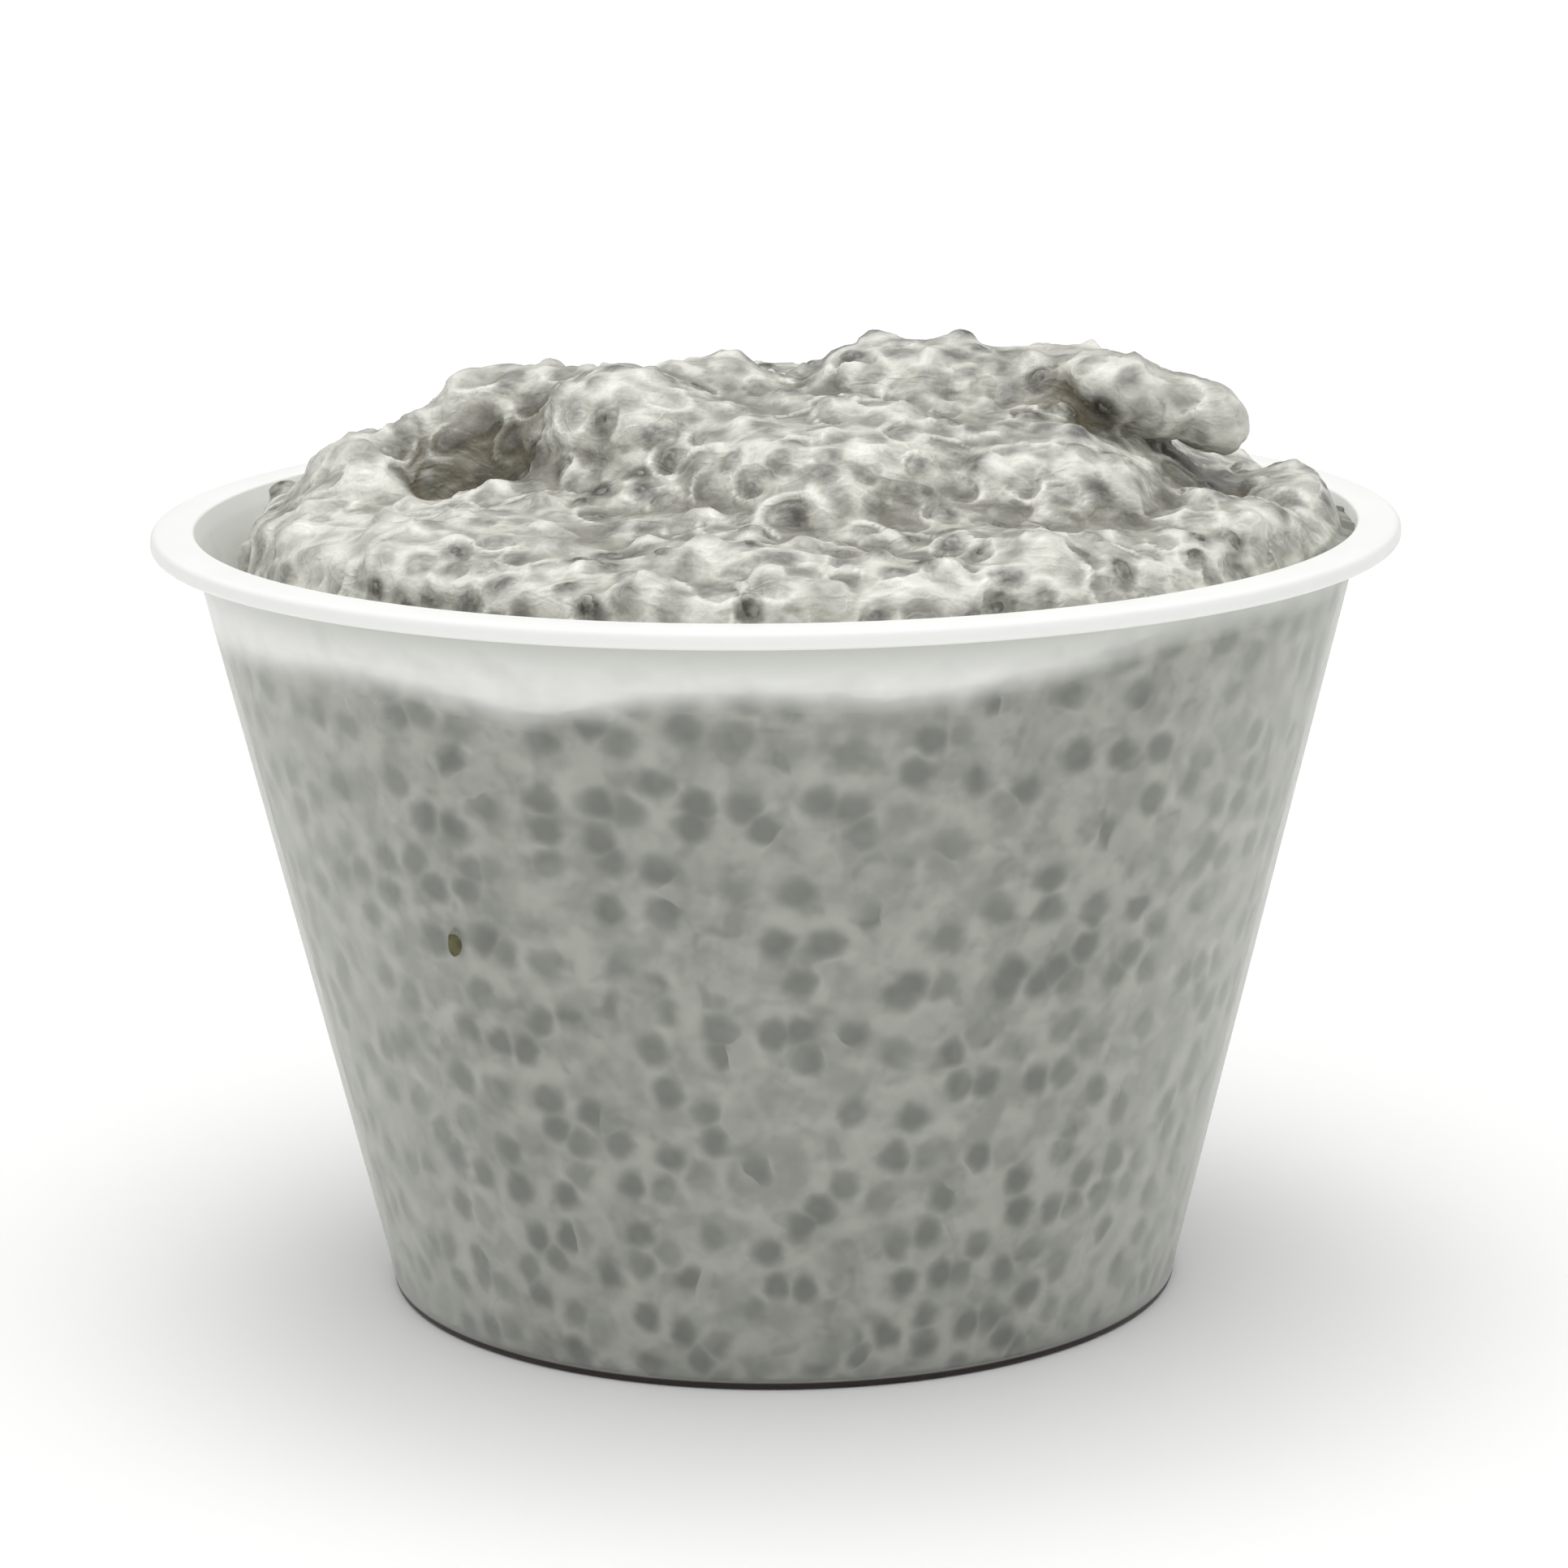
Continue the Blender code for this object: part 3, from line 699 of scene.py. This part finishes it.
shader.inputs["Coat Roughness"].default_value = 0.1
shader.inputs["Coat IOR"].default_value = 1.34
pudding.data.materials.append(made)
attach(pudding, "root")
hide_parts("pudding")
print("material", made.name, "has", len(nodes.nodes), "nodes")

# %% [markdown]
# ## The seeds themselves
# About one seed in eight breaks through the cream. One seed is modelled: a sphere drawn out into an oval and
# pinched to the blunt point that a chia seed has. Every visible one is a copy with its own mesh, laid along the oval
# that it lifted and sunk by more than half, and all are joined into one piece. The very top is left without them, so
# that the heap keeps its height.

# %% Model one seed and lay the copies
SEED_HALF = (0.92, 0.62, 0.48)
SHALLOW_ENOUGH = 0.88
OPEN_ENOUGH = 0.9
HIGHEST = 55.5
bpy.ops.object.select_all(action="DESELECT")
bpy.ops.mesh.primitive_uv_sphere_add(segments=12, ring_count=8, radius=1.0)
seed = bpy.context.object
seed.data.transform(Matrix.Rotation(math.radians(90), 4, "Y"))
attribute(seed, "crown", [vert.co.z for vert in seed.data.vertices])
for vert in seed.data.vertices:
    pinch = 1 - 0.22 * max(vert.co.x, 0.0) ** 2
    vert.co = Vector((vert.co.x * SEED_HALF[0], vert.co.y * SEED_HALF[1] * pinch, vert.co.z * SEED_HALF[2] * pinch))
copies = []
for centre, along, aside, normal, size, shallow in seed_frames:
    if shallow < SHALLOW_ENOUGH or openness(centre / MM) < OPEN_ENOUGH or centre.z / MM > HIGHEST:
        continue
    laid = Matrix((along, aside, normal)).transposed().to_4x4()
    raised = centre + normal * (OVAL_RISE * shallow - SEED_HALF[2] * size + draw.uniform(0.04, 0.13)) * MM
    copy = bpy.data.objects.new("seed", seed.data.copy())
    copy.data.transform(Matrix.Translation(raised) @ laid @ Matrix.Scale(size * MM, 4))
    bpy.context.scene.collection.objects.link(copy)
    copies.append(copy)
bpy.data.objects.remove(seed)
bpy.ops.object.select_all(action="DESELECT")
for copy in copies:
    copy.select_set(True)
chia = copies[0]
chia.name = "chia_seeds"
bpy.context.view_layer.objects.active = chia
bpy.ops.object.join()
bpy.ops.object.shade_smooth()
print(len(copies), "seeds show,", len(chia.data.polygons), "faces")

# %% [markdown]
# ## Soaked seed coat
# Dry chia is nearly black. Soaked and under a film of cream it reads as mid grey with a slight brown, mottled like
# a pebble, and the jelly on it gives a sharp little highlight.

# %% The seeds' material
made, nodes, shader = material("soaked chia seed coat")
place = add(nodes, "ShaderNodeTexCoord").outputs["Object"]
mottle = add(nodes, "ShaderNodeTexNoise", {"Vector": place, "Scale": 1 / (0.7 * MM), "Detail": 3.0})
coat = blend(ramp(mottle.outputs["Fac"], 0.35, 0.65), "#55544d", "#8f8e84")
crown = add(nodes, "ShaderNodeAttribute", attribute_name="crown").outputs["Fac"]
uneven = add(nodes, "ShaderNodeMath", {0: mottle.outputs["Fac"], 1: -0.5, 2: crown},
             operation="MULTIPLY_ADD").outputs[0]
nodes.links.new(blend(ramp(uneven, 0.0, 0.7, 0.9, 0.0), coat, "#b9b8ad"), shader.inputs["Base Color"])
shader.inputs["Roughness"].default_value = 0.3
shader.inputs["IOR"].default_value = 1.36
chia.data.materials.append(made)
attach(chia, "root")
print("seeds done")

# %% [markdown]
# ## A speck and a smear
# The cup in use isn't spotless. One dark greenish crumb sticks to the outside of the wall, on the left, and a drop of
# pudding has dried on the rim's inner edge, on the right. Each is a ball pressed flat against the plastic, with its
# points pushed in and out a little so that it isn't a perfect ball.

# %% Make both
def crumb(name, turn, radius, height, half):
    """A flattened, uneven ball on the cup at a turn round it in degrees. Half sizes are outward, along and up."""
    bpy.ops.object.select_all(action="DESELECT")
    bpy.ops.mesh.primitive_ico_sphere_add(subdivisions=4, radius=1.0)
    made = bpy.context.object
    made.name = name
    lumps = made.modifiers.new("lumps", "DISPLACE")
    lumps.texture = bpy.data.textures.new(name, "CLOUDS")
    lumps.texture.noise_scale = 0.7
    lumps.strength = 0.5
    apply_all(made)
    angle = math.radians(turn)
    place = Vector((radius * math.cos(angle), radius * math.sin(angle), height))
    sized = Matrix.Diagonal((*(side * MM for side in half), 1.0))
    made.data.transform(Matrix.Translation(place * MM) @ Matrix.Rotation(angle, 4, "Z") @ sized)
    bpy.ops.object.shade_smooth()
    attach(made, "root")
    return made


def dried(name, dark, light, rough):
    """Dried food: two tones, mottled at half a millimetre."""
    made, nodes, shader = material(name)
    place = add(nodes, "ShaderNodeTexCoord").outputs["Object"]
    mottle = add(nodes, "ShaderNodeTexNoise", {"Vector": place, "Scale": 1 / (0.5 * MM)}).outputs["Fac"]
    tones = add(nodes, "ShaderNodeMix", {"Factor": mottle, "A": linear(dark), "B": linear(light)}, data_type="RGBA")
    nodes.links.new(tones.outputs["Result"], shader.inputs["Base Color"])
    shader.inputs["Roughness"].default_value = rough
    return made


SPECK_Z = 26.6
speck = crumb("speck", -127.3, outside(SPECK_Z) + 0.02, SPECK_Z, (0.16, 0.46, 0.78))
speck.data.materials.append(dried("dry herb fleck", "#26240f", "#77744a", 0.7))
smear = crumb("smear", -54.5, 34.5, RIM_TOP - 0.1, (0.22, 0.17, 0.2))
smear.data.materials.append(dried("dried pudding", "#8f8d80", "#c4c2b6", 0.4))
print("speck and smear made")

# %% [markdown]
# ## Floor and light
# The floor is plain white. A studio for food this pale has light from all round, so that the floor is grey only round
# the foot, where the cup leans out over it. The sky here is stronger from above, weaker from both sides, which gives
# the cup its round form, and stronger from the front. A glow straight above keeps the far floor white. One soft lamp
# above and a little behind adds the glints on the wet top. The Standard view keeps colours as they were picked.

# %% Stage and lamp
bpy.ops.object.select_all(action="DESELECT")
bpy.ops.mesh.primitive_plane_add(size=6.0, location=(0, 0, 0))
floor = bpy.context.object
floor.name = "floor"
made, nodes, shader = material("matte white paper floor")
shader.inputs["Base Color"].default_value = linear("#fafaf9")
shader.inputs["Roughness"].default_value = 0.9
floor.data.materials.append(made)
LAMP_PLACE = Vector((-0.08, 0.25, 1.1))
LAMP_AIM = Vector((0, 0, 0.03))
lamp = bpy.data.lights.new("overhead softbox", "AREA")
lamp.size = 0.36
lamp.energy = 0.9
softbox = bpy.data.objects.new("overhead softbox", lamp)
softbox.location = LAMP_PLACE
softbox.rotation_euler = (LAMP_AIM - LAMP_PLACE).to_track_quat("-Z", "Y").to_euler()
bpy.context.scene.collection.objects.link(softbox)
print("lamp at", tuple(round(side, 2) for side in softbox.location), "m")

# %% Sky
HORIZON, ZENITH = 0.305, 0.935
AT_THE_SIDES = 0.5
BEHIND, IN_FRONT = 0.9, 1.45
GLOW, GLOW_TIGHTNESS = 2.2, 12.0
sky = bpy.data.worlds.new("studio white")
sky.use_nodes = True
nodes = sky.node_tree
ways = add(nodes, "ShaderNodeSeparateXYZ", {"Vector": add(nodes, "ShaderNodeTexCoord").outputs["Generated"]}).outputs
upward = add(nodes, "ShaderNodeMapRange", {"Value": ways["Z"], "To Min": HORIZON, "To Max": ZENITH}).outputs[0]
sideways = times(ways["X"], ways["X"])
flagged = add(nodes, "ShaderNodeMapRange", {"Value": sideways, "To Min": 1.0, "To Max": AT_THE_SIDES}).outputs[0]
in_front = add(nodes, "ShaderNodeMapRange", {"Value": ways["Y"], "From Min": 1.0, "From Max": -1.0, "To Min": BEHIND,
                                             "To Max": IN_FRONT}).outputs[0]
light = times(times(upward, flagged), in_front)
above = add(nodes, "ShaderNodeMath", {0: ways["Z"], 1: 0.0}, operation="MAXIMUM").outputs[0]
above = add(nodes, "ShaderNodeMath", {0: above, 1: GLOW_TIGHTNESS}, operation="POWER").outputs[0]
light = add(nodes, "ShaderNodeMath", {0: above, 1: GLOW, 2: light}, operation="MULTIPLY_ADD").outputs[0]
nodes.nodes["Background"].inputs["Color"].default_value = (1, 1, 1, 1)
nodes.links.new(light, nodes.nodes["Background"].inputs["Strength"])
bpy.context.scene.world = sky
bpy.context.scene.view_settings.view_transform = "Standard"
print("sky from", HORIZON, "at the horizon to", ZENITH, "above, and", GLOW, "more straight up")

# %% [markdown]
# ## Camera
# The view was worked out from the ellipses of the rim and foot: a long lens about 31 cm away, looking down by a
# little over 12 degrees, and rolled by two thirds of a degree, so that the rim's right end stands slightly higher.

# %% Camera
CAMERA_PLACE = (0, -0.3081, 0.0989)
YAW, LOOK_DOWN, ROLL = -0.06, 12.58, -0.642
lens = bpy.data.cameras.new("camera")
lens.sensor_width = 36.0
lens.lens = 120.4
lens.clip_start = 0.01
camera = bpy.data.objects.new("camera", lens)
bpy.context.scene.collection.objects.link(camera)
yaw = Matrix.Rotation(math.radians(YAW), 4, "Z")
pitch = Matrix.Rotation(math.radians(90 - LOOK_DOWN), 4, "X")
roll = Matrix.Rotation(math.radians(ROLL), 4, "Z")
camera.matrix_world = Matrix.Translation(CAMERA_PLACE) @ yaw @ pitch @ roll
bpy.context.scene.camera = camera
print("camera set")
